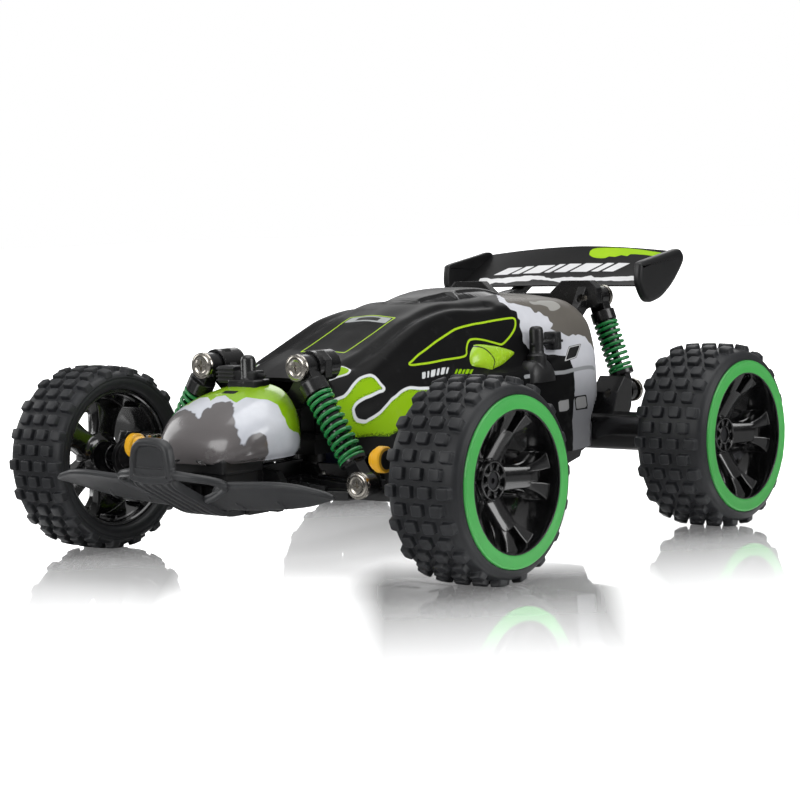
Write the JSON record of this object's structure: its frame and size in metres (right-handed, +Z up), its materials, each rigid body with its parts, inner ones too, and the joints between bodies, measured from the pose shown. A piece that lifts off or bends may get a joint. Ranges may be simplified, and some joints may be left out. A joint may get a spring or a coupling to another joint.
{
  "type": "remote control car",
  "caption": "Off-road toy buggy with knobbly tyres, sprung front arms, a swinging rear drive axle, steering, a low body shell, a nose cover, a wide front bumper and a rear wing.",
  "frame": {"origin": "on the ground, under the centre of the car's outer box", "axes": "+Z up, front of the car towards -Y, its left side towards +X"},
  "size_m": [0.214, 0.2603, 0.1054],
  "materials": {
    "tyre_rubber": "matte moulded rubber",
    "ring_green": "satin bright green",
    "rim_black": "gloss black",
    "frame_black": "satin black moulded plastic",
    "bumper_grey": "satin charcoal plastic",
    "shell_paint": "black shell with lime, white and grey graphics",
    "nose_paint": "grey and silver with a lime edge",
    "knuckle_yellow": "yellow plastic",
    "spring_green": "green coated wire",
    "steel": "plain steel",
    "chrome_screw": "bright screw heads",
    "brass": "plain brass",
    "nylon": "natural nylon gear",
    "battery_wrap": "blue shrink wrap",
    "board_green": "circuit board"
  },
  "bodies": {
    "chassis": {"chassis_tub": "frame_black", "battery_cover": "frame_black", "chassis_deck": "frame_black", "battery_pack": "battery_wrap", "control_board": "board_green", "steering_servo": "frame_black", "front_bumper": "bumper_grey", "nose_cover": "nose_paint", "front_shock_tower": "frame_black", "rear_shock_tower": "frame_black", "body_shell": "shell_paint", "rear_wing": "shell_paint", "wing_mount": "frame_black", "body_clips": "frame_black", "hinge_pins": "steel", "tower_screws": "chrome_screw", "deck_screws": "chrome_screw"},
    "rear_axle_unit": {"axle_housing": "frame_black", "gearbox_cover": "frame_black", "drive_motor": "steel", "axle_screws": "chrome_screw"},
    "rear_wheels": {"axle_shaft": "steel", "drive_gear": "nylon", "rear_tyres": "tyre_rubber", "rear_rims": "rim_black", "rear_rings": "ring_green", "rear_wheel_nuts": "steel"},
    "idler": {"idler_gear": "nylon"},
    "pinion": {"motor_pinion": "brass"},
    "servo_arm": {"servo_arm": "nylon"},
    "steering_rack": {"steering_rack": "frame_black"},
    "power_switch": {"power_switch": "frame_black"},
    "front_arm_left": {"front_arm_left": "frame_black", "arm_pins_left": "chrome_screw"},
    "knuckle_left": {"knuckle_left": "knuckle_yellow", "stub_axle_left": "steel"},
    "wheel_front_left": {"tyre_front_left": "tyre_rubber", "rim_front_left": "rim_black", "ring_front_left": "ring_green"},
    "steering_link_left": {"steering_link_left": "frame_black"},
    "shock_upper_front_left": {"shock_body_front_left": "frame_black", "shock_spring_front_left": "spring_green"},
    "shock_lower_front_left": {"shock_rod_front_left": "frame_black"},
    "shock_upper_rear_left": {"shock_body_rear_left": "frame_black", "shock_spring_rear_left": "spring_green"},
    "shock_lower_rear_left": {"shock_rod_rear_left": "frame_black"},
    "front_arm_right": {"front_arm_right": "frame_black", "arm_pins_right": "chrome_screw"},
    "knuckle_right": {"knuckle_right": "knuckle_yellow", "stub_axle_right": "steel"},
    "wheel_front_right": {"tyre_front_right": "tyre_rubber", "rim_front_right": "rim_black", "ring_front_right": "ring_green"},
    "steering_link_right": {"steering_link_right": "frame_black"},
    "shock_upper_front_right": {"shock_body_front_right": "frame_black", "shock_spring_front_right": "spring_green"},
    "shock_lower_front_right": {"shock_rod_front_right": "frame_black"},
    "shock_upper_rear_right": {"shock_body_rear_right": "frame_black", "shock_spring_rear_right": "spring_green"},
    "shock_lower_rear_right": {"shock_rod_rear_right": "frame_black"}
  },
  "joints": [
    {"name": "front_left_swing", "type": "hinge", "parent": "chassis", "child": "front_arm_left", "pos_m": [0.014, -0.07385, 0.03], "axis": [0, -1, 0], "range_deg": [0, 10], "stiffness_Nm_per_rad": 0.6, "springref_deg": -20.05},
    {"name": "steer_left", "type": "hinge", "parent": "front_arm_left", "child": "knuckle_left", "pos_m": [0.062, -0.06785, 0.035], "axis": [0, 0, 1], "range_deg": [-22, 22]},
    {"name": "wheel_front_left_spin", "type": "hinge", "parent": "knuckle_left", "child": "wheel_front_left", "pos_m": [0.093, -0.06785, 0.035], "axis": [1, 0, 0], "continuous": true},
    {"name": "steering_link_left_turn", "type": "hinge", "parent": "knuckle_left", "child": "steering_link_left", "pos_m": [0.062, -0.05785, 0.03], "axis": [0, 0, 1], "range_deg": [-22, 22]},
    {"name": "shock_front_left_tilt", "type": "hinge", "parent": "chassis", "child": "shock_upper_front_left", "pos_m": [0.0227, -0.076, 0.0719], "axis": [0, -1, 0], "range_deg": [0, 3.59], "deforming": ["shock_spring_front_left"]},
    {"name": "shock_rod_front_left_tilt", "type": "hinge", "parent": "front_arm_left", "child": "shock_lower_front_left", "pos_m": [0.0485, -0.076, 0.0323], "axis": [0, -1, 0], "range_deg": [-6.81, 0]},
    {"name": "shock_rear_left_tilt", "type": "hinge", "parent": "chassis", "child": "shock_upper_rear_left", "pos_m": [0.0308, 0.094, 0.0871], "axis": [-0.7639, -0.587, -0.2682], "range_deg": [0, 7.03], "deforming": ["shock_spring_rear_left"]},
    {"name": "shock_rod_rear_left_tilt", "type": "hinge", "parent": "rear_axle_unit", "child": "shock_lower_rear_left", "pos_m": [0.044, 0.094, 0.0495], "axis": [-0.9484, -0.2968, -0.1113], "range_deg": [0, 14.13]},
    {"name": "front_right_swing", "type": "hinge", "parent": "chassis", "child": "front_arm_right", "pos_m": [-0.014, -0.07385, 0.03], "axis": [0, 1, 0], "range_deg": [0, 10], "stiffness_Nm_per_rad": 0.6, "springref_deg": -20.05},
    {"name": "steer_right", "type": "hinge", "parent": "front_arm_right", "child": "knuckle_right", "pos_m": [-0.062, -0.06785, 0.035], "axis": [0, 0, 1], "range_deg": [-22, 22]},
    {"name": "wheel_front_right_spin", "type": "hinge", "parent": "knuckle_right", "child": "wheel_front_right", "pos_m": [-0.093, -0.06785, 0.035], "axis": [1, 0, 0], "continuous": true},
    {"name": "steering_link_right_turn", "type": "hinge", "parent": "knuckle_right", "child": "steering_link_right", "pos_m": [-0.062, -0.05785, 0.03], "axis": [0, 0, 1], "range_deg": [-22, 22]},
    {"name": "shock_front_right_tilt", "type": "hinge", "parent": "chassis", "child": "shock_upper_front_right", "pos_m": [-0.0227, -0.076, 0.0719], "axis": [0, 1, 0], "range_deg": [0, 3.59], "deforming": ["shock_spring_front_right"]},
    {"name": "shock_rod_front_right_tilt", "type": "hinge", "parent": "front_arm_right", "child": "shock_lower_front_right", "pos_m": [-0.0485, -0.076, 0.0323], "axis": [0, 1, 0], "range_deg": [-6.81, 0]},
    {"name": "shock_rear_right_tilt", "type": "hinge", "parent": "chassis", "child": "shock_upper_rear_right", "pos_m": [-0.0308, 0.094, 0.0871], "axis": [-0.7639, 0.587, 0.2682], "range_deg": [0, 7.03], "deforming": ["shock_spring_rear_right"]},
    {"name": "shock_rod_rear_right_tilt", "type": "hinge", "parent": "rear_axle_unit", "child": "shock_lower_rear_right", "pos_m": [-0.044, 0.094, 0.0495], "axis": [-0.9484, 0.2968, 0.1113], "range_deg": [0, 14.13]},
    {"name": "rear_axle_swing", "type": "hinge", "parent": "chassis", "child": "rear_axle_unit", "pos_m": [0, 0.042, 0.03], "axis": [1, 0, 0], "range_deg": [0, 8], "stiffness_Nm_per_rad": 1.6, "springref_deg": -17.19},
    {"name": "rear_wheels_spin", "type": "hinge", "parent": "rear_axle_unit", "child": "rear_wheels", "pos_m": [0, 0.07985, 0.035], "axis": [1, 0, 0], "continuous": true},
    {"name": "idler_spin", "type": "hinge", "parent": "rear_axle_unit", "child": "idler", "pos_m": [0.015, 0.06505, 0.04295], "axis": [1, 0, 0], "continuous": true},
    {"name": "pinion_spin", "type": "hinge", "parent": "rear_axle_unit", "child": "pinion", "pos_m": [0.0177, 0.0515, 0.04782], "axis": [1, 0, 0], "continuous": true},
    {"name": "servo_arm_turn", "type": "hinge", "parent": "chassis", "child": "servo_arm", "pos_m": [0, -0.048, 0.03], "axis": [0, 0, 1], "range_deg": [-22, 22]},
    {"name": "rack_slide", "type": "slide", "parent": "chassis", "child": "steering_rack", "axis": [1, 0, 0], "range_m": [-0.0038, 0.0038]},
    {"name": "power_switch_slide", "type": "slide", "parent": "chassis", "child": "power_switch", "axis": [0, 1, 0], "range_m": [0, 0.003]}
  ],
  "couplings": [
    {"joint": "shock_front_left_tilt", "follows": "front_left_swing", "ratio": 0.33944},
    {"joint": "shock_rod_front_left_tilt", "follows": "front_left_swing", "ratio": -0.66056},
    {"joint": "shock_rear_left_tilt", "follows": "rear_axle_swing", "ratio": 0.85387},
    {"joint": "shock_rod_rear_left_tilt", "follows": "rear_axle_swing", "ratio": 1.7416},
    {"joint": "steering_link_left_turn", "follows": "steer_left", "ratio": -1},
    {"joint": "shock_front_right_tilt", "follows": "front_right_swing", "ratio": 0.33944},
    {"joint": "shock_rod_front_right_tilt", "follows": "front_right_swing", "ratio": -0.66056},
    {"joint": "shock_rear_right_tilt", "follows": "rear_axle_swing", "ratio": 0.85387},
    {"joint": "shock_rod_rear_right_tilt", "follows": "rear_axle_swing", "ratio": 1.7416},
    {"joint": "steering_link_right_turn", "follows": "steer_left", "ratio": -1},
    {"joint": "idler_spin", "follows": "rear_wheels_spin", "ratio": -2.5},
    {"joint": "pinion_spin", "follows": "rear_wheels_spin", "ratio": 6.5},
    {"joint": "steer_right", "follows": "steer_left", "ratio": 1},
    {"joint": "servo_arm_turn", "follows": "steer_left", "ratio": -1},
    {"joint": "rack_slide", "follows": "steer_left", "m_per_rad": -0.0098}
  ]
}
